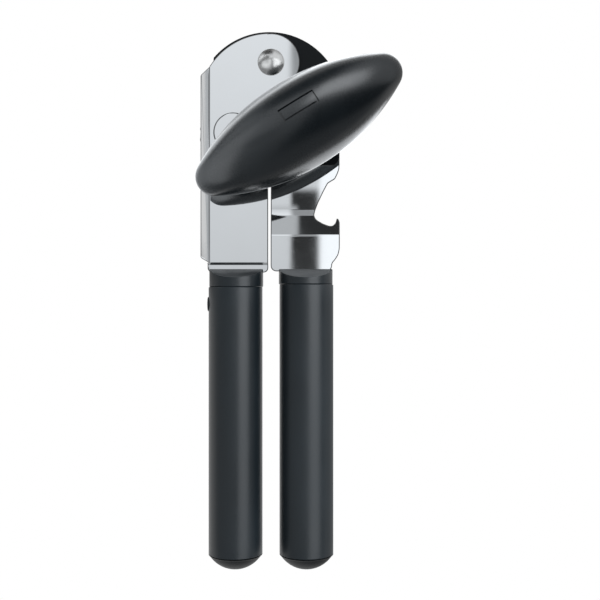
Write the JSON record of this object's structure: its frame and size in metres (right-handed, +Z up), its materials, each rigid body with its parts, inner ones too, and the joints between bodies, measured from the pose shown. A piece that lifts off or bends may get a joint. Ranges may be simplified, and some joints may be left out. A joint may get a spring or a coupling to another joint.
{
  "type": "manual can opener",
  "caption": "Hand can opener with two round soft handles, pivoted steel plates, an oval turning knob, geared feed and cutting wheels, and a bottle opener notch.",
  "frame": {"origin": "on the knob shaft's axis, at the plane the opener lies on, where the shaft's back end touches it", "axes": "+Z up, out of the back of the opener and through the knob; +Y from the handles to the pivot; +X across the plates to the bottle opener notch"},
  "size_m": [0.0701, 0.1885, 0.04],
  "materials": {
    "polished_steel": "mirror polished stainless steel",
    "zinc_steel": "turned, satin",
    "gear_steel": "stamped, satin",
    "bronze": "sintered bronze bearing",
    "black_plastic": "satin moulded",
    "gloss_collar": "semi-gloss moulded",
    "hard_core": "moulded",
    "soft_grip": "soft satin rubber",
    "soft_knob": "soft satin rubber",
    "white_nylon": "plain sheet"
  },
  "bodies": {
    "left_lever": {"front_plate": "polished_steel", "pivot_rivet": "polished_steel", "pivot_shim": "white_nylon", "pivot_washer": "zinc_steel", "left_collar": "gloss_collar", "left_core": "hard_core", "left_grip": "soft_grip", "left_end_plug": "black_plastic", "left_tang_pins": "zinc_steel", "left_grip_stud": "black_plastic", "cutter_axle": "zinc_steel", "axle_ring": "zinc_steel"},
    "right_lever": {"rear_plate": "polished_steel", "guard_plate": "black_plastic", "guard_pins": "zinc_steel", "shaft_bush": "bronze", "right_collar": "gloss_collar", "right_core": "hard_core", "right_grip": "soft_grip", "right_end_plug": "black_plastic", "right_tang_pins": "zinc_steel"},
    "drive": {"drive_shaft": "zinc_steel", "thrust_washer": "zinc_steel", "drive_gear": "gear_steel", "feed_wheel": "gear_steel", "shaft_nut": "zinc_steel", "knob_core": "hard_core", "knob_cover": "soft_knob", "knob_badge": "black_plastic"},
    "cutter": {"cutter_bush": "bronze", "cutter_gear": "gear_steel", "cutting_wheel": "polished_steel"}
  },
  "joints": [
    {"name": "handle_pivot", "type": "hinge", "parent": "left_lever", "child": "right_lever", "pos_m": [-0.0098, 0.0248, 0.0087], "axis": [0, 0, 1], "range_deg": [0, 60]},
    {"name": "knob_turn", "type": "hinge", "parent": "right_lever", "child": "drive", "pos_m": [0, 0, 0.009], "axis": [0, 0, 1], "continuous": true},
    {"name": "cutter_spin", "type": "hinge", "parent": "left_lever", "child": "cutter", "pos_m": [-0.02305, 0.0003, 0.004], "axis": [0, 0, 1], "continuous": true}
  ],
  "couplings": [
    {"joint": "cutter_spin", "follows": "knob_turn", "ratio": -1}
  ]
}
